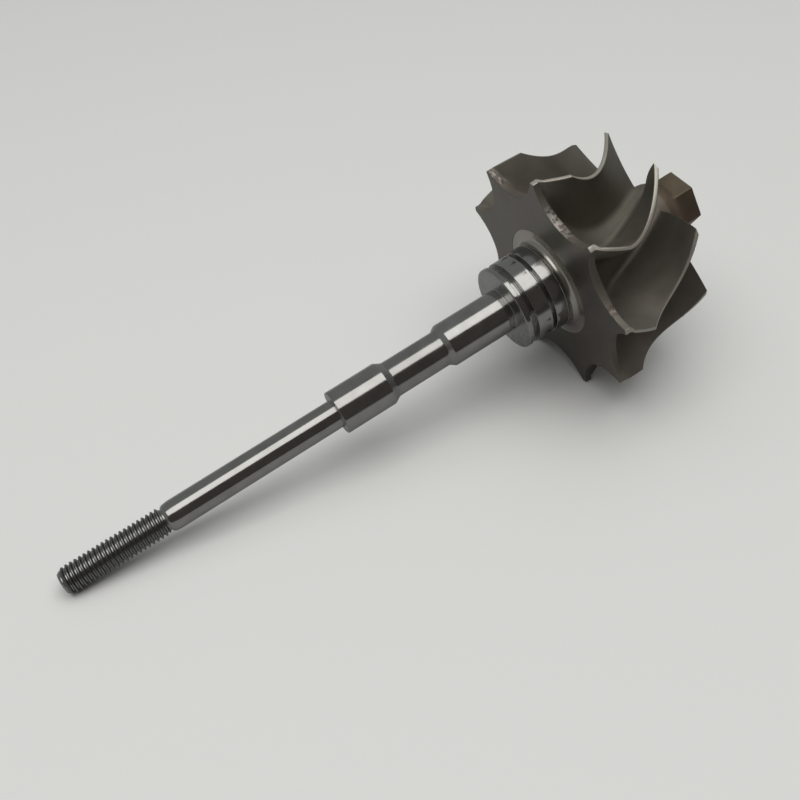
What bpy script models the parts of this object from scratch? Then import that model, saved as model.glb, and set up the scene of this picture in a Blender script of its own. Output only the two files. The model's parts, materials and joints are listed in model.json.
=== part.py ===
"""Turbocharger shaft and wheel: a ground steel shaft with a cast turbine wheel welded to its end.

The rotor is drawn along its own axis, from the threaded end to the nose of the wheel, and then laid
down as it lies on a level table: on two neighbouring tips of the wheel and on its threaded end.
"""

import math

import bmesh
import bpy
from mathutils import Matrix, Vector

MM = 0.001

# Places along the axis, measured from the shoulder that the compressor wheel is clamped against.
THREAD_END_X = -50.9 * MM
THREAD_FULL_X = -49.8 * MM
THREAD_RUNOUT_X = -32.6 * MM
SEAT_FRONT_X = -32.35 * MM
SEAT_X = -31.6 * MM
SHOULDER_X = 0.0 * MM
JOURNAL_1_END_X = 9.4 * MM
WAIST_START_X = 10.7 * MM
WAIST_END_X = 20.9 * MM
JOURNAL_2_X = 21.9 * MM
JOURNAL_2_LINE_X = (33.05 * MM, 33.2 * MM)
BOSS_X = 34.1 * MM
FIRST_GROOVE_X = (35.05 * MM, 36.25 * MM)
SECOND_GROOVE_X = (39.05 * MM, 39.85 * MM)
WELD_X = 42.0 * MM
FILLET_X = 42.65 * MM
BACK_FACE_X = 43.55 * MM
RECESS_X = 43.65 * MM
DISC_FRONT_X = 44.5 * MM
SHROUD_CORNER_X = 49.25 * MM
BLADE_TIP_X = 63.05 * MM
BLADE_ROOT_END_X = 65.6 * MM
HUB_NECK_X = 68.0 * MM
HEX_X = 69.6 * MM
NOSE_X = 73.3 * MM

# The turned shaft.
SEAT_DIAMETER = 5.0 * MM
SEAT_FRONT_DIAMETER = 4.3 * MM
RELIEF_DIAMETER = 3.8 * MM
JOURNAL_DIAMETER = 7.8 * MM
WAIST_DIAMETER = 6.4 * MM
BOSS_DIAMETER = 15.3 * MM
BOSS_REAR_DIAMETER = 15.6 * MM
GROOVE_FLOOR_DIAMETER = 12.8 * MM
JOURNAL_LINE_DEPTH = 0.12 * MM
EDGE_BREAK = 0.2 * MM
SHOULDER_BREAK = 0.3 * MM

# The left-hand M5 x 0.8 thread: where each corner of its profile lies along one pitch, and its radius.
THREAD_PITCH = 0.8 * MM
THREAD_CREST_RADIUS = 2.41 * MM
THREAD_ROOT_RADIUS = 1.96 * MM
THREAD_POINT_RADIUS = 1.75 * MM
THREAD_BLANK_RADIUS = 2.6 * MM
THREAD_LEAD_TURNS = 1.5
THREAD_START_ANGLE = math.radians(7)
THREAD_PROFILE = (
    (0.0, THREAD_ROOT_RADIUS),
    (0.2, THREAD_ROOT_RADIUS),
    (0.53, THREAD_CREST_RADIUS),
    (0.67, THREAD_CREST_RADIUS),
)

# The cast wheel.
WHEEL_RADIUS = 21.75 * MM
EXDUCER_RADIUS = 18.4 * MM
RECESS_RADIUS = 10.2 * MM
HUB_END_RADIUS = 6.1 * MM
HUB_NECK_RADIUS = 5.5 * MM
HEX_CORNER_RADIUS = 5.4 * MM
HEX_TURN = math.radians(-25)
SCALLOP_CENTRE_RADIUS = 25.1 * MM
SCALLOP_RADIUS = 8.3 * MM
SCALLOP_CUTTER_LENGTH = 5 * MM

# The blades. The lean about the axis is given at even steps from the back face to the root's end.
BLADE_COUNT = 9
BLADE_EDGE_THICKNESS = 0.75 * MM
BLADE_ROOT_THICKNESS = 1.4 * MM
BLADE_LEAN_DEGREES = (0.0, 4.0, 20.5, 5.6, -8.6, -31.6)
CASTING_GAP = 0.06 * MM

# Control points (x, radius) of the curves that bound a blade, seen from the side.
SHROUD_CURVE = (
    (SHROUD_CORNER_X, WHEEL_RADIUS),
    (54.1 * MM, 17.0 * MM),
    (58.8 * MM, 18.1 * MM),
    (BLADE_TIP_X, EXDUCER_RADIUS),
)
HUB_CURVE = (
    (DISC_FRONT_X, WHEEL_RADIUS),
    (44.9 * MM, 12.5 * MM),
    (47.5 * MM, 6.2 * MM),
    (57.0 * MM, 6.9 * MM),
    (BLADE_ROOT_END_X, HUB_END_RADIUS),
)

# How finely the round shapes are divided.
THREAD_SIDES = 20
SHAFT_SIDES = 40
HUB_SIDES = 72
SCALLOP_SIDES = 36
FILLET_STEPS = 3
CHORD_STEPS = 14
SPAN_STEPS = 4
NUDGE = 0.001
SHARP_ANGLE = math.radians(30)


def make_material(name, colour, roughness, metallic):
    finish = bpy.data.materials.new(name)
    finish.use_nodes = True
    shader = finish.node_tree.nodes["Principled BSDF"]
    shader.inputs["Base Color"].default_value = (*colour, 1.0)
    shader.inputs["Roughness"].default_value = roughness
    shader.inputs["Metallic"].default_value = metallic
    finish.diffuse_color = (*colour, 1.0)
    return finish


def add_object(name, shape, finish, rotor):
    """Turn a bmesh into a named object of the rotor, smooth except at its sharp edges."""
    mesh = bpy.data.meshes.new(name)
    bmesh.ops.recalc_face_normals(shape, faces=shape.faces)
    shape.to_mesh(mesh)
    shape.free()
    mesh.materials.append(finish)
    mesh.shade_smooth()
    mesh.set_sharp_from_angle(angle=SHARP_ANGLE)
    piece = bpy.data.objects.new(name, mesh)
    bpy.context.collection.objects.link(piece)
    piece.parent = rotor
    return piece


def add_tool(name, shape, rotor):
    """An object that only shapes another one, so it is never rendered."""
    tool = add_object(name, shape, None, rotor)
    tool.hide_render = True
    tool.display_type = "WIRE"
    return tool


def combine(piece, tool, operation):
    step = piece.modifiers.new(tool.name, "BOOLEAN")
    step.operation = operation
    step.object = tool
    step.solver = "EXACT"


def on_rotor(x, radius, angle):
    """Point at a radius from the axis. Angle 0 is up and grows by the right-hand rule about +X."""
    return Vector((x, -radius * math.sin(angle), radius * math.cos(angle)))


def bezier(controls, t):
    """Point of a Bezier curve of any degree, with as many coordinates as its control points."""
    points = [Vector(control) for control in controls]
    while len(points) > 1:
        points = [a.lerp(b, t) for a, b in zip(points, points[1:])]
    return points[0]


def turn(shape, profile, sides):
    """Turn a profile of (x, radius) about the axis. A radius may be a function of the angle."""
    rings = []
    for x, radius in profile:
        ring = []
        for i in range(sides):
            angle = 2 * math.pi * i / sides
            reach = radius(angle) if callable(radius) else radius
            ring.append(shape.verts.new(on_rotor(x, reach, angle)))
        rings.append(ring)
    for first, second in zip(rings, rings[1:]):
        for i in range(sides):
            after = (i + 1) % sides
            shape.faces.new((first[i], first[after], second[after], second[i]))
    shape.faces.new(rings[0])
    shape.faces.new(rings[-1])


def cut_thread(shape, start_x, turns):
    """A threaded bar: four helical lines of points, joined in strips, with a fan over each end."""
    steps = turns * THREAD_SIDES
    lines = []
    for corner, (phase, radius) in enumerate(THREAD_PROFILE):
        extra = THREAD_SIDES if corner == 0 else 0
        line = []
        for k in range(steps + extra + 1):
            x = start_x + (phase + k / THREAD_SIDES) * THREAD_PITCH
            left_hand_angle = THREAD_START_ANGLE - 2 * math.pi * k / THREAD_SIDES
            line.append(shape.verts.new(on_rotor(x, radius, left_hand_angle)))
        lines.append(line)
    next_turn = lines[0][THREAD_SIDES:]
    for line, beside in zip(lines, lines[1:] + [next_turn]):
        for k in range(steps):
            shape.faces.new((line[k], line[k + 1], beside[k + 1], beside[k]))
    for end in (0, steps):
        rim = lines[0][end : end + THREAD_SIDES + 1] + [line[end] for line in lines[:0:-1]]
        middle_x = start_x + (end / THREAD_SIDES + 0.5) * THREAD_PITCH
        centre = shape.verts.new((middle_x, 0, 0))
        for i, corner in enumerate(rim):
            shape.faces.new((centre, corner, rim[(i + 1) % len(rim)]))


def thread_blank_profile():
    """A bar that is looser than the thread except at its chamfered point and its run-out."""
    relief = RELIEF_DIAMETER / 2
    chamfer_slope = (THREAD_FULL_X - THREAD_END_X) / (THREAD_CREST_RADIUS - THREAD_POINT_RADIUS)
    chamfer_length = chamfer_slope * (THREAD_BLANK_RADIUS - THREAD_POINT_RADIUS)
    return (
        (THREAD_END_X, THREAD_POINT_RADIUS),
        (THREAD_END_X + chamfer_length, THREAD_BLANK_RADIUS),
        (THREAD_RUNOUT_X - (THREAD_BLANK_RADIUS - relief), THREAD_BLANK_RADIUS),
        (THREAD_RUNOUT_X, relief),
    )


def groove(span, edge_radius, floor_radius):
    """The four corners of a square groove."""
    start, end = span
    return [(start, edge_radius), (start, floor_radius), (end, floor_radius), (end, edge_radius)]


def turned_bar_profile():
    """The shaft from the end of its thread to the weld on the wheel."""
    seat = SEAT_DIAMETER / 2
    journal = JOURNAL_DIAMETER / 2
    waist = WAIST_DIAMETER / 2
    boss = BOSS_DIAMETER / 2
    rear = BOSS_REAR_DIAMETER / 2
    relief = RELIEF_DIAMETER / 2
    ring_floor = GROOVE_FLOOR_DIAMETER / 2
    profile = [
        (THREAD_RUNOUT_X - 2 * THREAD_PITCH, relief - EDGE_BREAK),
        (THREAD_RUNOUT_X - THREAD_PITCH, relief),
        (SEAT_FRONT_X, relief),
        (SEAT_FRONT_X, SEAT_FRONT_DIAMETER / 2),
        (SEAT_X, seat),
        (SHOULDER_X, seat),
        (SHOULDER_X, journal - EDGE_BREAK),
        (SHOULDER_X + EDGE_BREAK, journal),
        (JOURNAL_1_END_X, journal),
        (WAIST_START_X, waist),
        (WAIST_END_X, waist),
        (JOURNAL_2_X, journal),
    ]
    profile += groove(JOURNAL_2_LINE_X, journal, journal - JOURNAL_LINE_DEPTH)
    profile += [
        (BOSS_X, journal),
        (BOSS_X, boss - SHOULDER_BREAK),
        (BOSS_X + SHOULDER_BREAK, boss),
    ]
    profile += groove(FIRST_GROOVE_X, boss, ring_floor)
    profile += [(SECOND_GROOVE_X[0] - 2 * EDGE_BREAK, boss)]
    profile += groove(SECOND_GROOVE_X, rear, ring_floor)
    profile += [(WELD_X - EDGE_BREAK / 2, rear), (WELD_X, rear - EDGE_BREAK / 2)]
    return profile


def make_shaft(finish, rotor):
    """One steel bar: its thread is cut, trimmed by the blank's chamfers, and joined to the rest."""
    threaded = bmesh.new()
    start_x = THREAD_END_X - THREAD_LEAD_TURNS * THREAD_PITCH
    turns = math.ceil((THREAD_RUNOUT_X - start_x) / THREAD_PITCH) + 1
    cut_thread(threaded, start_x, turns)
    shaft = add_object("shaft", threaded, finish, rotor)

    blank = bmesh.new()
    turn(blank, thread_blank_profile(), THREAD_SIDES)
    combine(shaft, add_tool("thread_blank", blank, rotor), "INTERSECT")

    bar = bmesh.new()
    turn(bar, turned_bar_profile(), SHAFT_SIDES)
    combine(shaft, add_tool("turned_bar", bar, rotor), "UNION")


def hub_line(step):
    """Point (x, radius) where the blades meet the hub, from the disc's rim to the roots' end."""
    return bezier(HUB_CURVE, step / CHORD_STEPS)


def hexagon(corner_radius):
    """Radius of a hexagon as a function of the angle."""
    sixth = math.pi / 3

    def reach(angle):
        from_flat = (angle - HEX_TURN) % sixth - sixth / 2
        return corner_radius * math.cos(sixth / 2) / math.cos(from_flat)

    return reach


def make_hub(finish, rotor):
    """The casting without its blades: back face, scalloped disc, hub and hexagonal nose."""
    stub = BOSS_REAR_DIAMETER / 2
    weld_face = WELD_X + CASTING_GAP
    fillet = RECESS_X - FILLET_X
    profile = [(weld_face, stub - EDGE_BREAK / 2), (weld_face + EDGE_BREAK / 2, stub)]
    for step in range(FILLET_STEPS + 1):
        bend = math.pi / 2 * step / FILLET_STEPS
        profile.append((FILLET_X + fillet * math.sin(bend), stub + fillet * (1 - math.cos(bend))))
    profile += [(RECESS_X, RECESS_RADIUS), (BACK_FACE_X, RECESS_RADIUS), (BACK_FACE_X, WHEEL_RADIUS)]
    profile += [tuple(hub_line(step)) for step in range(CHORD_STEPS + 1)]
    profile += [
        (HUB_NECK_X, HUB_NECK_RADIUS),
        (HEX_X, hexagon(HEX_CORNER_RADIUS)),
        (NOSE_X - EDGE_BREAK, hexagon(HEX_CORNER_RADIUS)),
        (NOSE_X, hexagon(HEX_CORNER_RADIUS - EDGE_BREAK)),
    ]
    body = bmesh.new()
    turn(body, profile, HUB_SIDES)
    hub = add_object("wheel_hub", body, finish, rotor)

    cutters = bmesh.new()
    for blade in range(BLADE_COUNT):
        angle = 2 * math.pi * (blade + 0.5) / BLADE_COUNT
        centre = on_rotor(BACK_FACE_X, SCALLOP_CENTRE_RADIUS, angle)
        placed = Matrix.Translation(centre) @ Matrix.Rotation(math.pi / 2, 4, "Y")
        bmesh.ops.create_cone(
            cutters,
            cap_ends=True,
            segments=SCALLOP_SIDES,
            radius1=SCALLOP_RADIUS,
            radius2=SCALLOP_RADIUS,
            depth=SCALLOP_CUTTER_LENGTH,
            matrix=placed,
        )
    combine(hub, add_tool("scallop_cutters", cutters, rotor), "DIFFERENCE")


def blade_lean(x):
    """Angle of the blade's middle surface at x, and how fast it turns, in radians a metre."""
    length = BLADE_ROOT_END_X - BACK_FACE_X
    t = (x - BACK_FACE_X) / length
    controls = [(math.radians(lean), 0) for lean in BLADE_LEAN_DEGREES]
    lean, _ = bezier(controls, t)
    lean_ahead, _ = bezier(controls, t + NUDGE)
    return lean, (lean_ahead - lean) / (NUDGE * length)


def blade_point(along, across, side):
    """Point on a blade: along the flow from 0 to 1, across from hub 0 to shroud 1, side -1 to 1."""
    root = bezier(HUB_CURVE, along)
    ahead = bezier(HUB_CURVE, along + NUDGE) - root
    off_hub = Vector((-ahead.y, ahead.x)).normalized() * CASTING_GAP
    x, radius = (root + off_hub).lerp(bezier(SHROUD_CURVE, along), across)
    lean, slope = blade_lean(x)
    thickness = BLADE_ROOT_THICKNESS + (BLADE_EDGE_THICKNESS - BLADE_ROOT_THICKNESS) * across
    if along == 0:
        thickness = BLADE_EDGE_THICKNESS
    slant = math.sqrt(1 + (radius * slope) ** 2)
    return x, radius, lean + side * thickness * slant / (2 * radius)


def make_blade(number, finish, rotor):
    """One blade: two skins of points that meet the hub, the shroud line and both edges."""
    turned = 2 * math.pi * (number - 1) / BLADE_COUNT
    shape = bmesh.new()
    skins = []
    for side in (-1, 1):
        skin = []
        for i in range(CHORD_STEPS + 1):
            row = []
            for j in range(SPAN_STEPS + 1):
                x, radius, angle = blade_point(i / CHORD_STEPS, j / SPAN_STEPS, side)
                row.append(shape.verts.new(on_rotor(x, radius, angle + turned)))
            skin.append(row)
        skins.append(skin)
        for i in range(CHORD_STEPS):
            for j in range(SPAN_STEPS):
                shape.faces.new((skin[i][j], skin[i + 1][j], skin[i + 1][j + 1], skin[i][j + 1]))
    first, second = skins
    edges = [
        [(i, 0) for i in range(CHORD_STEPS + 1)],
        [(i, SPAN_STEPS) for i in range(CHORD_STEPS + 1)],
        [(0, j) for j in range(SPAN_STEPS + 1)],
        [(CHORD_STEPS, j) for j in range(SPAN_STEPS + 1)],
    ]
    for edge in edges:
        for (i, j), (next_i, next_j) in zip(edge, edge[1:]):
            here = (first[i][j], second[i][j])
            beside = (second[next_i][next_j], first[next_i][next_j])
            shape.faces.new(here + beside)
    add_object(f"blade_{number}", shape, finish, rotor)


def lay_down(rotor):
    """Tilt the rotor onto the two lowest tips of the wheel and the first crest of its thread."""
    reach = SCALLOP_CENTRE_RADIUS**2 + WHEEL_RADIUS**2 - SCALLOP_RADIUS**2
    from_scallop_middle = math.acos(reach / (2 * SCALLOP_CENTRE_RADIUS * WHEEL_RADIUS))
    tip_drop = WHEEL_RADIUS * math.cos(from_scallop_middle)
    rise = math.atan((tip_drop - THREAD_CREST_RADIUS) / (BACK_FACE_X - THREAD_FULL_X))
    rotor.rotation_euler = (0, -rise, 0)
    bpy.context.view_layer.update()
    graph = bpy.context.evaluated_depsgraph_get()
    corners = []
    for piece in rotor.children:
        if piece.hide_render:
            continue
        evaluated = piece.evaluated_get(graph)
        mesh = evaluated.to_mesh()
        corners += [evaluated.matrix_world @ vertex.co for vertex in mesh.vertices]
        evaluated.to_mesh_clear()
    low = Vector([min(corner[axis] for corner in corners) for axis in range(3)])
    high = Vector([max(corner[axis] for corner in corners) for axis in range(3)])
    rotor.location = (-(low.x + high.x) / 2, -(low.y + high.y) / 2, -low.z)


def main():
    for existing in list(bpy.data.objects):
        bpy.data.objects.remove(existing, do_unlink=True)
    rotor = bpy.data.objects.new("rotor", None)
    bpy.context.collection.objects.link(rotor)
    ground_steel = make_material("ground_steel", (0.42, 0.41, 0.39), 0.25, 1.0)
    cast_alloy = make_material("cast_alloy", (0.2, 0.18, 0.15), 0.45, 1.0)
    make_shaft(ground_steel, rotor)
    make_hub(cast_alloy, rotor)
    for number in range(1, BLADE_COUNT + 1):
        make_blade(number, cast_alloy, rotor)
    lay_down(rotor)


main()
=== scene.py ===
import math

import bpy
from mathutils import Matrix, Vector
from mathutils.geometry import normal
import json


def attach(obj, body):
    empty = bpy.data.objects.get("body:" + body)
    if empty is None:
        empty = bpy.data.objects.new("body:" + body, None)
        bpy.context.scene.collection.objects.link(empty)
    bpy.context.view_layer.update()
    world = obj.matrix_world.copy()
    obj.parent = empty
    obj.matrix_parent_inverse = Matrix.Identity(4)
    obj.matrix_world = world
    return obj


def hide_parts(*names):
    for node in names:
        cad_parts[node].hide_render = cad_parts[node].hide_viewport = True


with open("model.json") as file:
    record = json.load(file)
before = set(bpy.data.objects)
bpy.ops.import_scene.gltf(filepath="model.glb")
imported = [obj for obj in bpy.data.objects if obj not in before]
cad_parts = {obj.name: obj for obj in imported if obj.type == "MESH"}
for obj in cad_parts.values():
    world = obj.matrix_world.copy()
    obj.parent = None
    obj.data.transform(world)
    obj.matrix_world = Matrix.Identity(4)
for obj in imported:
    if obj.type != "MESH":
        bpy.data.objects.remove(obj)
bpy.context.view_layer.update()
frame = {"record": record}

# The rotor as it lies: on two tips of its wheel and on the end of its thread, so that its axis climbs
# towards the wheel. Every piece is drawn along that axis, in millimetres from the shoulder that the
# compressor is clamped against, and the CAD model's own end faces say where the axis lies.
MM = 0.001
THREAD_END = -50.9
faces_at = {mount["name"]: Vector(mount["pos_m"]) for mount in frame["record"]["mounts"]}
axis = (faces_at["nose_end_face"] - faces_at["thread_end_face"]).normalized()
level = Vector((0, 1, 0))
shoulder = faces_at["thread_end_face"] - axis * THREAD_END * MM
as_it_lies = Matrix((axis, level, axis.cross(level))).transposed()


def on_rotor(x, radius, angle):
    """Point of the world in metres. Angle 0 is up and grows by the right-hand rule along the axis."""
    along_axis = Vector((x, -radius * math.sin(angle), radius * math.cos(angle)))
    return shoulder + as_it_lies @ along_axis * MM


# The shaft is one bar of hardened steel: turned, then ground bright on its seat, journals and boss. Its
# free end has a rolled left-hand M5 thread, and the boss has two square grooves for seal rings, which
# aren't fitted. A fine weld line ends it.
SHAFT_SIDES = 120
THREAD_FULL = -49.8
THREAD_RUNOUT = -32.6
THREAD_PITCH = 0.8
THREAD_CREST = 2.41
THREAD_ROOT = 1.96
THREAD_POINT = 1.75
THREAD_RELIEF = 1.9
THREAD_STEP = 0.04
THREAD_TURN = 1.5 - 7 / 360
CREST_PHASE = 0.6
CREST_HALF = 0.07
FLANK_WIDTH = 0.33
RUNOUT_SLOPE = 1.5
SEAT_FRONT = -32.35
SEAT_RADIUS = 2.5
SEAT_LEAD_IN = [(-32.3, 2.15, 0.05), (-31.9, 2.37, 0.25), (-31.0, SEAT_RADIUS, 0.5)]
JOURNAL_RADIUS = 3.9
JOURNAL_1_END = 9.4
WAIST_RADIUS = 3.2
WAIST_START = 10.7
WAIST_END = 20.9
JOURNAL_2_START = 21.9
JOURNAL_LINE = (33.05, 33.2)
JOURNAL_LINE_DEPTH = 0.12
BOSS_FACE = 34.1
BOSS_RADIUS = 7.65
FIRST_GROOVE = (35.05, 36.25)
SECOND_GROOVE = (39.05, 39.85)
GROOVE_FLOOR = 6.4
BOSS_REAR_RISE = 0.4
BOSS_REAR_RADIUS = 7.8
BOSS_REAR_FLARE = 0.1
WELD = 42.0
WELD_LINE = 0.06
WELD_FACE_RADIUS = 7.5
CORNER_POINTS = 5
CORNER_ROOM = 0.45
CORNER_SUPPORT = 1.1
FACED_FROM = 0.4
SHARP_ANGLE = math.radians(40)


def thread_radius(x, angle):
    """Flat-topped ridges that climb to the left, cut down by the chamfered point and the run-out."""
    phase = (x - THREAD_END) / THREAD_PITCH + THREAD_TURN + angle / math.tau
    from_crest = abs((phase - CREST_PHASE + 0.5) % 1.0 - 0.5)
    depth = min(max((from_crest - CREST_HALF) / FLANK_WIDTH, 0.0), 1.0)
    ridge = THREAD_CREST - (THREAD_CREST - THREAD_ROOT) * depth
    point_slope = (THREAD_CREST - THREAD_POINT) / (THREAD_FULL - THREAD_END)
    point = THREAD_POINT + (x - THREAD_END) * point_slope
    runout = THREAD_RELIEF + RUNOUT_SLOPE * max(THREAD_RUNOUT - x, 0.0)
    return min(ridge, point, runout)


def rounded(corners):
    """A profile of (x, radius, rounding) corners, each rounded in small steps, its flats held flat."""
    profile = [corners[0][:2]]
    for before, corner, after in zip(corners, corners[1:], corners[2:]):
        here = Vector(corner[:2])
        back = Vector(before[:2]) - here
        ahead = Vector(after[:2]) - here
        reach = min(corner[2], back.length * CORNER_ROOM, ahead.length * CORNER_ROOM)
        start = here + back.normalized() * reach
        end = here + ahead.normalized() * reach
        profile.append(tuple(here + back.normalized() * reach * CORNER_SUPPORT))
        for step in range(CORNER_POINTS):
            t = step / (CORNER_POINTS - 1)
            profile.append(tuple(start.lerp(here, t).lerp(here.lerp(end, t), t)))
        profile.append(tuple(here + ahead.normalized() * reach * CORNER_SUPPORT))
    profile.append(corners[-1][:2])
    return profile


def groove_corners(span, edge, floor, rounding):
    """The four corners of a square groove, from its near edge down and up to its far edge."""
    start, end = span
    corners = ((start, edge), (start, floor), (end, floor), (end, edge))
    return [(x, radius, rounding) for x, radius in corners]


def lathe(rings):
    """Points and faces of a turned shape: its rings joined in order, with a cap on each end."""
    sides = len(rings[0])
    points = [point for ring in rings for point in ring]
    faces = []
    for row in range(len(rings) - 1):
        for i in range(sides):
            after = (i + 1) % sides
            low = row * sides
            high = low + sides
            faces.append((low + i, low + after, high + after, high + i))
    faces.append(tuple(reversed(range(sides))))
    faces.append(tuple(range(len(points) - sides, len(points))))
    return points, faces


def add_piece(name, points, faces, finishes, finish_of_face):
    """A smooth piece that rides on the rotor, with one of its finishes on each face."""
    mesh = bpy.data.meshes.new(name)
    mesh.from_pydata(points, [], faces)
    for finish in finishes:
        mesh.materials.append(finish)
    mesh.polygons.foreach_set("material_index", [finishes.index(finish) for finish in finish_of_face])
    mesh.shade_smooth()
    mesh.set_sharp_from_angle(angle=SHARP_ANGLE)
    mesh.update()
    piece = bpy.data.objects.new(name, mesh)
    bpy.context.scene.collection.objects.link(piece)
    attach(piece, "root")
    return piece


def new_finish(name, metallic):
    finish = bpy.data.materials.new(name)
    finish.use_nodes = True
    shader = finish.node_tree.nodes["Principled BSDF"]
    shader.inputs["Metallic"].default_value = metallic
    return finish, finish.node_tree, shader


def rotor_place(tree, finer=(1, 1, 1)):
    """Place on the rotor, along its axis and across it, counted as finer by a factor each way."""
    place = tree.nodes.new("ShaderNodeTexCoord")
    lay_back = tree.nodes.new("ShaderNodeMapping")
    lay_back.vector_type = "TEXTURE"
    lay_back.inputs["Location"].default_value = shoulder
    lay_back.inputs["Rotation"].default_value = as_it_lies.to_euler()
    lay_back.inputs["Scale"].default_value = [1 / factor for factor in finer]
    tree.links.new(place.outputs["Object"], lay_back.inputs["Vector"])
    return lay_back.outputs["Vector"]


def grain(tree, scale, detail, finer=(1, 1, 1)):
    """Noise that stays with the rotor, made finer along its axis or across it by the factors given."""
    noise = tree.nodes.new("ShaderNodeTexNoise")
    noise.inputs["Scale"].default_value = scale
    noise.inputs["Detail"].default_value = detail
    tree.links.new(rotor_place(tree, finer), noise.inputs["Vector"])
    return noise.outputs["Fac"]


def distance_from_axis(tree):
    across = tree.nodes.new("ShaderNodeVectorMath")
    across.operation = "MULTIPLY"
    across.inputs[1].default_value = (0, 1, 1)
    reach = tree.nodes.new("ShaderNodeVectorMath")
    reach.operation = "LENGTH"
    tree.links.new(rotor_place(tree), across.inputs[0])
    tree.links.new(across.outputs["Vector"], reach.inputs[0])
    return reach.outputs["Value"]


def rings_about_axis(tree, scale, detail):
    """Fine turning marks on a flat face: noise that depends only on the distance from the axis."""
    noise = tree.nodes.new("ShaderNodeTexNoise")
    noise.noise_dimensions = "1D"
    noise.inputs["Scale"].default_value = scale
    noise.inputs["Detail"].default_value = detail
    tree.links.new(distance_from_axis(tree), noise.inputs["W"])
    return noise.outputs["Fac"]


def blend_range(tree, amount, low, high, socket, clip=(0.3, 0.7)):
    """Spread a noise between two values, or two colours, of one socket of the shader."""
    spread = tree.nodes.new("ShaderNodeMapRange")
    spread.inputs["From Min"].default_value = clip[0]
    spread.inputs["From Max"].default_value = clip[1]
    tree.links.new(amount, spread.inputs["Value"])
    if isinstance(low, float):
        spread.inputs["To Min"].default_value = low
        spread.inputs["To Max"].default_value = high
        tree.links.new(spread.outputs["Result"], socket)
        return
    mix = tree.nodes.new("ShaderNodeMix")
    mix.data_type = "RGBA"
    mix.inputs["A"].default_value = (*low, 1)
    mix.inputs["B"].default_value = (*high, 1)
    tree.links.new(spread.outputs["Result"], mix.inputs["Factor"])
    tree.links.new(mix.outputs["Result"], socket)


def emboss(tree, shader, heights):
    """Raise the surface by each noise in turn, given with its height in millimetres."""
    below = None
    for height, depth in heights:
        bump = tree.nodes.new("ShaderNodeBump")
        bump.inputs["Strength"].default_value = 1.0
        bump.inputs["Distance"].default_value = depth * MM
        tree.links.new(height, bump.inputs["Height"])
        if below:
            tree.links.new(below, bump.inputs["Normal"])
        below = bump.outputs["Normal"]
    tree.links.new(below, shader.inputs["Normal"])


def steel_finish(name, dark, light, smooth, rough, line_depth, faced=False):
    """Steel with slow patches of tone, and fine marks that run round the bar or round a flat face."""
    finish, tree, shader = new_finish(name, 1.0)
    marks = rings_about_axis(tree, 6000, 3) if faced else grain(tree, 300, 3, finer=(60, 1, 1))
    patches = grain(tree, 350, 3)
    blend_range(tree, patches, dark, light, shader.inputs["Base Color"])
    blend_range(tree, patches, smooth, rough, shader.inputs["Roughness"])
    emboss(tree, shader, [(marks, line_depth)])
    return finish


def rolled_thread_steel():
    """Smoother crests and roots with a painted highlight on them, and flanks darkened as painted shade."""
    # The flank colour is painted shade, and the crest and root colour is a painted highlight.
    shaded_flank_colour = (0.2, 0.2, 0.195)
    painted_glint_colour = (0.42, 0.415, 0.405)
    finish, tree, shader = new_finish("thread_steel", 1.0)
    middle = (THREAD_CREST + THREAD_ROOT) / 2
    half_height = THREAD_CREST - middle
    off_middle = tree.nodes.new("ShaderNodeMath")
    off_middle.operation = "SUBTRACT"
    off_middle.inputs[1].default_value = middle * MM
    off_flank = tree.nodes.new("ShaderNodeMath")
    off_flank.operation = "ABSOLUTE"
    tree.links.new(distance_from_axis(tree), off_middle.inputs[0])
    tree.links.new(off_middle.outputs["Value"], off_flank.inputs[0])
    reach = off_flank.outputs["Value"]
    glint_band_from = ((half_height - 0.05) * MM, (half_height - 0.02) * MM)
    blend_range(tree, reach, shaded_flank_colour, painted_glint_colour, shader.inputs["Base Color"], glint_band_from)
    blend_range(tree, reach, 0.38, 0.24, shader.inputs["Roughness"], glint_band_from)
    emboss(tree, shader, [(grain(tree, 900, 3, finer=(8, 1, 1)), 0.0003)])
    return finish


thread_steel = rolled_thread_steel()
ground_steel = steel_finish("ground_steel", (0.38, 0.375, 0.365), (0.45, 0.445, 0.435), 0.1, 0.16, 0.00006)
turned_steel = steel_finish("turned_steel", (0.36, 0.355, 0.345), (0.42, 0.415, 0.405), 0.14, 0.2, 0.00012)
faced_steel = steel_finish(
    "faced_steel", (0.4, 0.395, 0.385), (0.46, 0.455, 0.445), 0.24, 0.32, 0.0006, faced=True
)

bar_corners = [(THREAD_RUNOUT, THREAD_RELIEF, 0), (SEAT_FRONT, THREAD_RELIEF, 0.05)] + SEAT_LEAD_IN
bar_corners += [
    (0.0, SEAT_RADIUS, 0.08),
    (0.0, JOURNAL_RADIUS, 0.16),
    (JOURNAL_1_END, JOURNAL_RADIUS, 0.1),
    (WAIST_START, WAIST_RADIUS, 0.3),
    (WAIST_END, WAIST_RADIUS, 0.3),
    (JOURNAL_2_START, JOURNAL_RADIUS, 0.1),
]
bar_corners += groove_corners(JOURNAL_LINE, JOURNAL_RADIUS, JOURNAL_RADIUS - JOURNAL_LINE_DEPTH, 0.03)
bar_corners += [(BOSS_FACE, JOURNAL_RADIUS, 0.1), (BOSS_FACE, BOSS_RADIUS, 0.3)]
bar_corners += groove_corners(FIRST_GROOVE, BOSS_RADIUS, GROOVE_FLOOR, 0.08)
bar_corners += [(SECOND_GROOVE[0] - BOSS_REAR_RISE, BOSS_RADIUS, 0.05)]
bar_corners += groove_corners(SECOND_GROOVE, BOSS_REAR_RADIUS - BOSS_REAR_FLARE, GROOVE_FLOOR, 0.08)
rear_end_radius = BOSS_REAR_RADIUS + 0.8 * BOSS_REAR_FLARE
bar_corners += [
    (WELD - WELD_LINE, rear_end_radius, 0.02),
    (WELD, rear_end_radius - WELD_LINE, 0.01),
    (WELD, WELD_FACE_RADIUS, 0),
]

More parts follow.
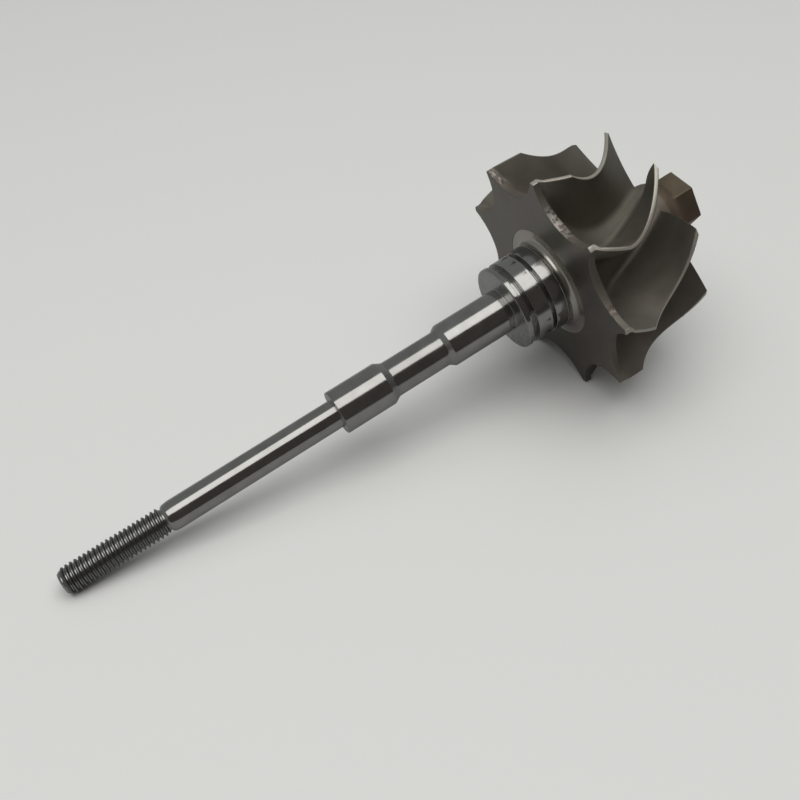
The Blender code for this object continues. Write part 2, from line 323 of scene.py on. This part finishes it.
shaft_angles = [math.tau * i / SHAFT_SIDES for i in range(SHAFT_SIDES)]
thread_rows = round((THREAD_RUNOUT - THREAD_END) / THREAD_STEP)
shaft_rings = []
for row in range(thread_rows):
    x = THREAD_END + row * THREAD_STEP
    shaft_rings.append([on_rotor(x, thread_radius(x, angle), angle) for angle in shaft_angles])
for x, radius in rounded(bar_corners):
    shaft_rings.append([on_rotor(x, radius, angle) for angle in shaft_angles])
shaft_points, shaft_faces = lathe(shaft_rings)
finish_of_shaft_face = []
for face in shaft_faces:
    corners = [shaft_points[corner] for corner in face]
    from_shoulder = sum(corners, Vector()) / len(corners) - shoulder
    x = from_shoulder.dot(axis) / MM
    if x < SEAT_FRONT:
        finish_of_shaft_face.append(thread_steel)
    elif abs(normal(corners[:4]).dot(axis)) > FACED_FROM:
        finish_of_shaft_face.append(faced_steel)
    elif JOURNAL_1_END < x < JOURNAL_2_START:
        finish_of_shaft_face.append(turned_steel)
    else:
        finish_of_shaft_face.append(ground_steel)
shaft_finishes = [thread_steel, ground_steel, turned_steel, faced_steel]
shaft = add_piece("steel_shaft", shaft_points, shaft_faces, shaft_finishes, finish_of_shaft_face)
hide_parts("shaft")

# The wheel is one investment casting of nickel alloy, its surface fine-grained and browned by heat. This
# is its body: the stub that the weld joins, a shallow recess turned in its back, the disc scalloped
# between the blades, the hub, and a hexagonal nose that a socket holds.
BLADES = 9
STUB_END = 42.65
STUB_SUPPORT = 0.05
BACK_FACE = 43.55
RECESS_DEPTH = 0.1
RECESS_RADIUS = 10.2
RECESS_BEND_STEPS = 8
RECESS_LIP = ((RECESS_DEPTH, -0.05), (0.08, 0.0), (0.02, 0.05), (0.0, 0.08), (0.0, 0.15))
WHEEL_RADIUS = 21.75
SCALLOP_CENTRE = 25.1
SCALLOP_RADIUS = 8.3
SCALLOP_STEPS = 30
SCALLOP_CROWDING = 0.85
SPOKE_ROUNDING = 0.08
SPOKE_BARE = 18.6
SPOKE_FULL = 19.3
SPOKE_PARTS = (-0.9, -0.6, 0, 0.6, 0.9)
RIM_ROUNDING = 0.12
RIM_ROUNDING_AT_BLADE = 0.01
DISC_FRONT = 44.5
ROOT_END = 65.6
HUB_END_RADIUS = 6.1
HUB_STEPS = 70
HUB_CURVE = ((DISC_FRONT, WHEEL_RADIUS), (44.9, 12.5), (47.5, 6.2), (57.0, 6.9), (ROOT_END, HUB_END_RADIUS))
NECK_CURVE = ((66.4, 6.14), (67.0, 6.12), (67.6, 6.02), (68.2, 5.8), (68.7, 5.6))
NECK_RADIUS = 5.45
NOSE_BROWN_FROM = 67.2
NOSE_END = 73.3
NOSE_CHAMFER = ((0.2, 0), (0.12, 0.01), (0.04, 0.05), (0, 0.15))
HEX_RISE = ((69.1, 0.25), (69.5, 0.7), (69.8, 0.95), (70.1, 1.0))
HEX_ACROSS_FLATS = 9.42
HEX_TURN = math.radians(-25)
HEX_SHARPNESS = 120


def bezier(controls, t):
    """Point of a Bezier curve of any degree."""
    points = [Vector(control) for control in controls]
    while len(points) > 1:
        points = [a.lerp(b, t) for a, b in zip(points, points[1:])]
    return points[0]


def rim_radius(angle):
    """The disc's edge: the wheel's full radius at each blade, cut back by a round scallop between them."""
    gap = math.tau / BLADES
    off = (angle % gap) - gap / 2
    inside = max(SCALLOP_RADIUS**2 - (SCALLOP_CENTRE * math.sin(off)) ** 2, 0.0)
    scalloped = SCALLOP_CENTRE * math.cos(off) - math.sqrt(inside)
    soft_corner = math.hypot(WHEEL_RADIUS - scalloped, 2 * SPOKE_ROUNDING)
    return (WHEEL_RADIUS + scalloped - soft_corner) / 2


def spoke_half_angle(radius):
    """Half the angle that one spoke of the disc takes up at a radius."""
    reach = (SCALLOP_CENTRE**2 + radius**2 - SCALLOP_RADIUS**2) / (2 * SCALLOP_CENTRE * radius)
    cut = math.acos(reach) if reach < 1 else 0.0
    return math.pi / BLADES - cut


def hub_share_at(radius):
    """How far along the hub's curve it has come in to a radius near the rim, found by halving."""
    low, high = 0.0, 0.4
    for _ in range(30):
        middle = (low + high) / 2
        if bezier(HUB_CURVE, middle).y > radius:
            low = middle
        else:
            high = middle
    return low


def hexagon(angle):
    """The nose's radius at an angle: a hexagon whose corners are slightly soft."""
    reach = 0.0
    for flat in range(6):
        facing = math.cos(angle - HEX_TURN - math.pi / 6 - flat * math.pi / 3)
        reach += max(facing, 0.0) ** HEX_SHARPNESS
    return HEX_ACROSS_FLATS / 2 * reach ** (-1 / HEX_SHARPNESS)


def alloy_finish(name, metallic, dark, light, smooth, rough, grain_depth, turning_depth=0):
    """Cast alloy: two browns in slow patches, with the fine grain of the mould or the marks of a tool."""
    finish, tree, shader = new_finish(name, metallic)
    tone = grain(tree, 180, 4)
    tint = grain(tree, 90, 3, finer=(1, 1.3, 0.8))
    sand = grain(tree, 6000, 2)
    swell = grain(tree, 500, 2)
    browned = tree.nodes.new("ShaderNodeMix")
    browned.data_type = "RGBA"
    browned.blend_type = "MULTIPLY"
    browned.inputs["Factor"].default_value = 1
    blend_range(tree, tone, dark, light, browned.inputs["A"])
    blend_range(tree, tint, (1.0, 0.99, 0.92), (1.0, 0.9, 0.88), browned.inputs["B"], (0.4, 0.6))
    tree.links.new(browned.outputs["Result"], shader.inputs["Base Color"])
    blend_range(tree, tone, smooth, rough, shader.inputs["Roughness"])
    heights = [(sand, grain_depth), (swell, 4 * grain_depth)]
    if turning_depth:
        heights.append((rings_about_axis(tree, 9000, 2), turning_depth))
    emboss(tree, shader, heights)
    return finish


def ground_patches(name, coverage):
    """Cast alloy that a grinding wheel has touched: light streaks with reddish brown spots left in them."""
    spot_colour = (0.15, 0.125, 0.108)
    streak_colour = (0.33, 0.305, 0.282)
    finish, tree, shader = new_finish(name, 0.85)
    touched = grain(tree, 1500, 3)
    edge = 0.62 - 0.3 * coverage
    streaks_from = (edge - 0.05, edge + 0.05)
    blend_range(tree, touched, spot_colour, streak_colour, shader.inputs["Base Color"], streaks_from)
    blend_range(tree, touched, 0.5, 0.4, shader.inputs["Roughness"])
    emboss(tree, shader, [(touched, 0.02)])
    return finish


cast_alloy = alloy_finish("cast_alloy", 0.7, (0.18, 0.169, 0.15), (0.24, 0.227, 0.203), 0.52, 0.62, 0.002)
back_alloy = alloy_finish("back_alloy", 0.8, (0.205, 0.2, 0.188), (0.245, 0.238, 0.225), 0.32, 0.4, 0.0003)
turned_alloy = alloy_finish(
    "turned_alloy", 1.0, (0.46, 0.452, 0.432), (0.53, 0.52, 0.5), 0.2, 0.27, 0.0003, turning_depth=0.003
)
edge_alloy = alloy_finish("edge_alloy", 0.7, (0.5, 0.49, 0.46), (0.62, 0.61, 0.58), 0.42, 0.52, 0.0008)
nose_alloy = alloy_finish("nose_alloy", 0.75, (0.15, 0.119, 0.088), (0.22, 0.177, 0.135), 0.42, 0.5, 0.002)
balanced_rim = ground_patches("balanced_rim", 0.55)
nicked_rim = ground_patches("nicked_rim", 0.2)
rim_marks = ((8, 29, balanced_rim), (321, 326, nicked_rim), (71, 75.5, nicked_rim))

spoke_edge = spoke_half_angle(WHEEL_RADIUS)
scallop = math.tau / BLADES - 2 * spoke_edge
hub_angles = []
for blade in range(BLADES):
    middle = math.tau * blade / BLADES
    hub_angles += [middle + spoke_edge * part for part in SPOKE_PARTS]
    for step in range(SCALLOP_STEPS + 1):
        evenly = step / SCALLOP_STEPS
        crowded = evenly - SCALLOP_CROWDING * math.sin(math.tau * evenly) / math.tau
        hub_angles.append(middle + spoke_edge + scallop * crowded)
hub_sides = len(hub_angles)


def hub_ring(places):
    """One ring of the hub, from its place (x, radius) at each of the hub's angles."""
    return [on_rotor(x, radius, angle) for (x, radius), angle in zip(places, hub_angles)]


weld_face = WELD + WELD_LINE
stub_radius = BOSS_REAR_RADIUS + BOSS_REAR_FLARE
recess_face = BACK_FACE + RECESS_DEPTH
recess_bend = recess_face - STUB_END
hub_back = [(weld_face, WELD_FACE_RADIUS), (weld_face, stub_radius - WELD_LINE)]
hub_back += [(weld_face + WELD_LINE, stub_radius), (STUB_END - STUB_SUPPORT, stub_radius)]
for step in range(RECESS_BEND_STEPS + 1):
    bend = math.pi / 2 * step / RECESS_BEND_STEPS
    radius = stub_radius + recess_bend * (1 - math.cos(bend))
    hub_back.append((STUB_END + recess_bend * math.sin(bend), radius))
hub_back.append((recess_face, stub_radius + recess_bend + STUB_SUPPORT))
recess_end = len(hub_back) + 1
hub_back += [(BACK_FACE + depth, RECESS_RADIUS + outward) for depth, outward in RECESS_LIP]
back_inner = RECESS_RADIUS + RECESS_LIP[-1][1]

rims = [rim_radius(angle) for angle in hub_angles]
fronts = [bezier(HUB_CURVE, hub_share_at(rim)).x for rim in rims]
front_rounding = []
for rim in rims:
    bare = min(max((SPOKE_FULL - rim) / (SPOKE_FULL - SPOKE_BARE), 0.0), 1.0)
    front_rounding.append(RIM_ROUNDING_AT_BLADE + (RIM_ROUNDING - RIM_ROUNDING_AT_BLADE) * bare)
share_starts = [hub_share_at(rim - rounding) for rim, rounding in zip(rims, front_rounding)]

hub_rings = [hub_ring([place] * hub_sides) for place in hub_back]
for share in (0.4, 0.8, 0.98):
    places = [(BACK_FACE, back_inner + (rim - RIM_ROUNDING - back_inner) * share) for rim in rims]
    hub_rings.append(hub_ring(places))
rim_start = len(hub_rings)
for inward, forward in ((1, 0), (0.3, 0.3), (0, 1)):
    x = BACK_FACE + forward * RIM_ROUNDING
    hub_rings.append(hub_ring([(x, rim - inward * RIM_ROUNDING) for rim in rims]))
for inward, back in ((0, 1), (0.3, 0.3)):
    places = []
    for front, rim, rounding in zip(fronts, rims, front_rounding):
        places.append((front - back * rounding, rim - inward * rounding))
    hub_rings.append(hub_ring(places))
rim_end = len(hub_rings)
for step in range(HUB_STEPS + 1):
    places = [bezier(HUB_CURVE, start + (1 - start) * step / HUB_STEPS) for start in share_starts]
    hub_rings.append(hub_ring(places))
hub_rings += [hub_ring([place] * hub_sides) for place in NECK_CURVE]
for x, share in HEX_RISE:
    places = [(x, NECK_RADIUS + (hexagon(angle) - NECK_RADIUS) * share) for angle in hub_angles]
    hub_rings.append(hub_ring(places))
for from_end, inward in NOSE_CHAMFER:
    hub_rings.append(hub_ring([(NOSE_END - from_end, hexagon(angle) - inward) for angle in hub_angles]))

hub_points, hub_faces = lathe(hub_rings)
finish_of_hub_face = []
for number, face in enumerate(hub_faces):
    row = number // hub_sides
    centre = sum((hub_points[corner] for corner in face), Vector()) / len(face)
    place = as_it_lies.transposed() @ (centre - shoulder)
    x = place.x / MM
    radius = math.hypot(place.y, place.z) / MM
    angle = math.degrees(math.atan2(-place.y, place.z)) % 360
    marks = [finish for start, end, finish in rim_marks if start < angle < end]
    if x < STUB_END:
        finish_of_hub_face.append(ground_steel)
    elif row < recess_end:
        finish_of_hub_face.append(turned_alloy)
    elif row < rim_start:
        finish_of_hub_face.append(back_alloy)
    elif x > NOSE_BROWN_FROM:
        finish_of_hub_face.append(nose_alloy)
    elif row >= rim_end:
        finish_of_hub_face.append(cast_alloy)
    elif radius > WHEEL_RADIUS - RIM_ROUNDING:
        finish_of_hub_face.append(edge_alloy)
    else:
        finish_of_hub_face.append(marks[0] if marks else cast_alloy)
hub_finishes = [cast_alloy, ground_steel, turned_alloy, back_alloy]
hub_finishes += [edge_alloy, nose_alloy, balanced_rim, nicked_rim]
hub = add_piece("cast_hub", hub_points, hub_faces, hub_finishes, finish_of_hub_face)
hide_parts("wheel_hub")

# The nine blades are cast in one with the hub. Each stands straight out from it, swept round in a long
# S from the disc's rim to the gas outlet, and thickens into a fillet at its root. The rim edge and the
# long outer edge are ground bright to fit the housing.
BLADE_EDGE = 0.75
BLADE_ROOT = 1.4
THICKENING = 0.25
BLADE_ROUNDING = 0.1
ROOT_FILLET = 0.9
ROOT_SINK = 0.05
FILLET_PARTS = (0.0, 0.03, 0.1, 0.22, 0.42, 0.68, 1.0)
DISC_ZONE_END = BACK_FACE + 5
CHORD_STEPS = 56
SPAN_STEPS = 12
LEAN_DEGREES = (0.0, 4.0, 20.5, 5.6, -8.6, -31.6)
SHROUD_CURVE = ((49.25, WHEEL_RADIUS), (54.1, 17.0), (58.8, 18.1), (63.05, 18.4))
END_ROUNDING = [(0.0, 1.0), (0.0015, 0.3), (0.005, 0.0)]


def blade_lean(x):
    """Angle of the blade's middle surface at x, and how fast it turns per millimetre."""
    share = (x - BACK_FACE) / (ROOT_END - BACK_FACE)
    order = len(LEAN_DEGREES) - 1
    lean = 0.0
    turn = 0.0
    for i, control in enumerate(LEAN_DEGREES):
        lean += math.comb(order, i) * share**i * (1 - share) ** (order - i) * control
    for i in range(order):
        step = LEAN_DEGREES[i + 1] - LEAN_DEGREES[i]
        turn += math.comb(order - 1, i) * share**i * (1 - share) ** (order - 1 - i) * step * order
    return math.radians(lean), math.radians(turn) / (ROOT_END - BACK_FACE)


def blade_heights(span):
    """Up the blade from its root: (height, fillet's flare, part of the edge's rounding taken off)."""
    heights = [(-ROOT_SINK, ROOT_FILLET, 0.0)]
    for part in FILLET_PARTS:
        flare = ROOT_FILLET - math.sqrt(ROOT_FILLET**2 - (ROOT_FILLET * (1 - part)) ** 2)
        heights.append((part * ROOT_FILLET, flare, 0.0))
    plain = span - BLADE_ROUNDING - ROOT_FILLET
    for step in range(1, SPAN_STEPS):
        heights.append((ROOT_FILLET + plain * step / SPAN_STEPS, 0.0, 0.0))
    heights += [(span - 1.5 * BLADE_ROUNDING, 0.0, 0.0), (ROOT_FILLET + plain, 0.0, 0.0)]
    heights += [(span - 0.3 * BLADE_ROUNDING, 0.0, 0.3), (span, 0.0, 1.0)]
    return heights


def blade_section(share, edge_inset):
    """Across the blade at one place along it: (x, radius, middle angle, half angle) from root to edge."""
    root = bezier(HUB_CURVE, share)
    outer = bezier(SHROUD_CURVE, share)
    span = (outer - root).length
    section = []
    over_spoke = min(max((root.y - SPOKE_BARE) / (SPOKE_FULL - SPOKE_BARE), 0.0), 1.0)
    thicken = min(share / THICKENING, 1.0)
    root_thickness = BLADE_EDGE + (BLADE_ROOT - BLADE_EDGE) * thicken * (2 - thicken)
    for height, flare, inset in blade_heights(span):
        x, radius = root.lerp(outer, height / span)
        lean, turn = blade_lean(x)
        rise = min(max(height / ROOT_FILLET, 0.0), 1.0)
        lean *= 1 - over_spoke * (1 - rise * rise * (3 - 2 * rise))
        half = (root_thickness + (BLADE_EDGE - root_thickness) * max(height / span, 0.0)) / 2 + flare
        half -= max(inset, edge_inset) * BLADE_ROUNDING
        half_angle = half * math.sqrt(1 + (radius * turn) ** 2) / radius
        if radius > SCALLOP_CENTRE - SCALLOP_RADIUS and x < DISC_ZONE_END:
            half_angle = min(half_angle, spoke_half_angle(min(radius, WHEEL_RADIUS)))
        section.append((x, radius, lean, half_angle))
    return section


def make_blade(number, sections):
    """Both skins of a blade, closed by strips along its outer edge, outlet edge, root and rim edge."""
    turned_by = math.tau * (number - 1) / BLADES
    rows = len(sections)
    width = len(sections[0])
    points = []
    for side in (-1, 1):
        for section in sections:
            for x, radius, lean, half_angle in section:
                points.append(on_rotor(x, radius, lean + side * half_angle + turned_by))

    def corner(side, row, column):
        return side * rows * width + row * width + column

    faces = []
    for row in range(rows - 1):
        for column in range(width - 1):
            ring = ((row, column), (row + 1, column), (row + 1, column + 1), (row, column + 1))
            faces.append(tuple(corner(0, *place) for place in reversed(ring)))
            faces.append(tuple(corner(1, *place) for place in ring))
    finish_of_face = [cast_alloy] * len(faces)
    outer_edge = [(row, width - 1) for row in range(rows)]
    outlet_edge = [(rows - 1, column) for column in range(width - 1, -1, -1)]
    root_line = [(row, 0) for row in range(rows - 1, -1, -1)]
    rim_edge = [(0, column) for column in range(width)]
    strips = [(outer_edge, edge_alloy), (outlet_edge, cast_alloy)]
    strips += [(root_line, cast_alloy), (rim_edge, edge_alloy)]
    for strip, finish in strips:
        for here, beside in zip(strip, strip[1:]):
            faces.append((corner(0, *here), corner(1, *here), corner(1, *beside), corner(0, *beside)))
            finish_of_face.append(finish)
    piece = add_piece(f"cast_blade_{number}", points, faces, [cast_alloy, edge_alloy], finish_of_face)
    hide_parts(f"blade_{number}")


chord_shares = END_ROUNDING + [((step + 0.5) / CHORD_STEPS, 0.0) for step in range(CHORD_STEPS)]
chord_shares += [(1 - share, inset) for share, inset in reversed(END_ROUNDING)]
blade_sections = [blade_section(share, inset) for share, inset in chord_shares]
for number in range(1, BLADES + 1):
    make_blade(number, blade_sections)

# The table top that the rotor lies on: a plain pale sheet, far wider than the picture. The metal mirrors it
# in a painted grey, darker than the camera sees it, and a painted shadow makes it almost black on the near
# side, where the room is dark too.
FLOOR_HALF = 3.0
FLOOR_PALE = (0.9, 0.9, 0.89, 1)
FLOOR_MIRRORED = 0.4
FLOOR_PAINTED_SHADOW_TONE = 0.06
FLOOR_DIMS_FROM = -0.07
FLOOR_DARK_AT = -0.13
floor_mesh = bpy.data.meshes.new("table_top")
floor_corners = [(-FLOOR_HALF, -FLOOR_HALF, 0), (FLOOR_HALF, -FLOOR_HALF, 0)]
floor_corners += [(FLOOR_HALF, FLOOR_HALF, 0), (-FLOOR_HALF, FLOOR_HALF, 0)]
floor_mesh.from_pydata(floor_corners, [], [(0, 1, 2, 3)])
floor_finish, floor_tree, floor_shader = new_finish("pale_table_top", 0.0)
floor_shader.inputs["Roughness"].default_value = 0.8
floor_seen = floor_tree.nodes.new("ShaderNodeLightPath")
floor_tone = floor_tree.nodes.new("ShaderNodeMix")
floor_tone.data_type = "RGBA"
floor_place = floor_tree.nodes.new("ShaderNodeTexCoord")
floor_parts = floor_tree.nodes.new("ShaderNodeSeparateXYZ")
# Painted shadow: the mirrored grey fades to almost black towards the near side.
floor_painted_shadow = floor_tree.nodes.new("ShaderNodeMapRange")
floor_painted_shadow.interpolation_type = "SMOOTHSTEP"
floor_painted_shadow.inputs["From Min"].default_value = FLOOR_DIMS_FROM
floor_painted_shadow.inputs["From Max"].default_value = FLOOR_DARK_AT
floor_painted_shadow.inputs["To Min"].default_value = FLOOR_MIRRORED
floor_painted_shadow.inputs["To Max"].default_value = FLOOR_PAINTED_SHADOW_TONE
floor_tree.links.new(floor_place.outputs["Object"], floor_parts.inputs[0])
floor_tree.links.new(floor_parts.outputs["Y"], floor_painted_shadow.inputs["Value"])
floor_tree.links.new(floor_painted_shadow.outputs["Result"], floor_tone.inputs["A"])
floor_tone.inputs["B"].default_value = FLOOR_PALE
floor_tree.links.new(floor_seen.outputs["Is Camera Ray"], floor_tone.inputs["Factor"])
floor_tree.links.new(floor_tone.outputs["Result"], floor_shader.inputs["Base Color"])
floor_mesh.materials.append(floor_finish)
floor = bpy.data.objects.new("table_top", floor_mesh)
bpy.context.scene.collection.objects.link(floor)

# Soft studio light: one long box overhead, a grey room that is darkest on the camera's side, where the
# bars of the shaft mirror it as their dark band, and a pale wall for what the camera sees itself.
ROOM_GREY = (0.23, 0.24, 0.23, 1)
ROOM_DARK = (0.07, 0.063, 0.058, 1)
ROOM_DIMS_FROM = -0.3
ROOM_DARK_AT = -0.52
WALL_PALE = (0.8, 0.8, 0.79, 1)
OVERHEAD_PLACE = (-0.08, -0.095, 0.6)
OVERHEAD_AIM = (-0.08, -0.095, 0)
OVERHEAD_SIZE = (0.75, 0.47)
CEILING_PLACE = (0, 0, 1.6)
CEILING_SIZE = (2.4, 2.4)
room = bpy.data.worlds.new("studio")
bpy.context.scene.world = room
room.use_nodes = True
room_tree = room.node_tree
room_light = room_tree.nodes["Background"]
direction = room_tree.nodes.new("ShaderNodeTexCoord")
parts = room_tree.nodes.new("ShaderNodeSeparateXYZ")
near_side = room_tree.nodes.new("ShaderNodeMapRange")
near_side.interpolation_type = "SMOOTHSTEP"
near_side.inputs["From Min"].default_value = ROOM_DIMS_FROM
near_side.inputs["From Max"].default_value = ROOM_DARK_AT
tones = room_tree.nodes.new("ShaderNodeMix")
tones.data_type = "RGBA"
tones.inputs["A"].default_value = ROOM_GREY
tones.inputs["B"].default_value = ROOM_DARK
seen = room_tree.nodes.new("ShaderNodeLightPath")
pale = room_tree.nodes.new("ShaderNodeMix")
pale.data_type = "RGBA"
pale.inputs["B"].default_value = WALL_PALE
room_tree.links.new(direction.outputs["Generated"], parts.inputs[0])
room_tree.links.new(parts.outputs["Y"], near_side.inputs["Value"])
room_tree.links.new(near_side.outputs["Result"], tones.inputs["Factor"])
room_tree.links.new(tones.outputs["Result"], pale.inputs["A"])
room_tree.links.new(seen.outputs["Is Camera Ray"], pale.inputs["Factor"])
room_tree.links.new(pale.outputs["Result"], room_light.inputs["Color"])


def add_soft_box(name, place, aim, size, watts, colour, mirrored):
    """A flat rectangular lamp that faces its aim. One that isn't mirrored lights without a highlight."""
    lamp = bpy.data.lights.new(name, "AREA")
    lamp.shape = "RECTANGLE"
    lamp.size, lamp.size_y = size
    lamp.energy = watts
    lamp.color = colour
    box = bpy.data.objects.new(name, lamp)
    box.location = place
    box.rotation_euler = (Vector(place) - Vector(aim)).to_track_quat("Z", "Y").to_euler()
    box.visible_glossy = mirrored
    bpy.context.scene.collection.objects.link(box)


add_soft_box("overhead_box", OVERHEAD_PLACE, OVERHEAD_AIM, OVERHEAD_SIZE, 1.5, (1, 0.985, 0.96), True)
add_soft_box("ceiling", CEILING_PLACE, (0, 0, 0), CEILING_SIZE, 11, (1, 1, 1), False)

# The camera stands above the threaded end's side of the shaft and looks down along it at the wheel.
CAMERA_PLACE = (-59.29 * MM, -115.16 * MM, 133.89 * MM)
CAMERA_HEADING = math.radians(27.51)
CAMERA_DROP = math.radians(44.0)
CAMERA_ROLL = math.radians(-4.71)
FOCAL_LENGTH = 47.25
SENSOR_WIDTH = 36
lens = bpy.data.cameras.new("studio_camera")
lens.lens = FOCAL_LENGTH
lens.sensor_width = SENSOR_WIDTH
lens.clip_start = 0.01
camera = bpy.data.objects.new("studio_camera", lens)
facing = Matrix.Rotation(-CAMERA_HEADING, 4, "Z") @ Matrix.Rotation(math.pi / 2 - CAMERA_DROP, 4, "X")
camera.matrix_world = Matrix.Translation(CAMERA_PLACE) @ facing @ Matrix.Rotation(CAMERA_ROLL, 4, "Z")
bpy.context.scene.collection.objects.link(camera)
bpy.context.scene.camera = camera
bpy.context.scene.view_settings.view_transform = "Standard"
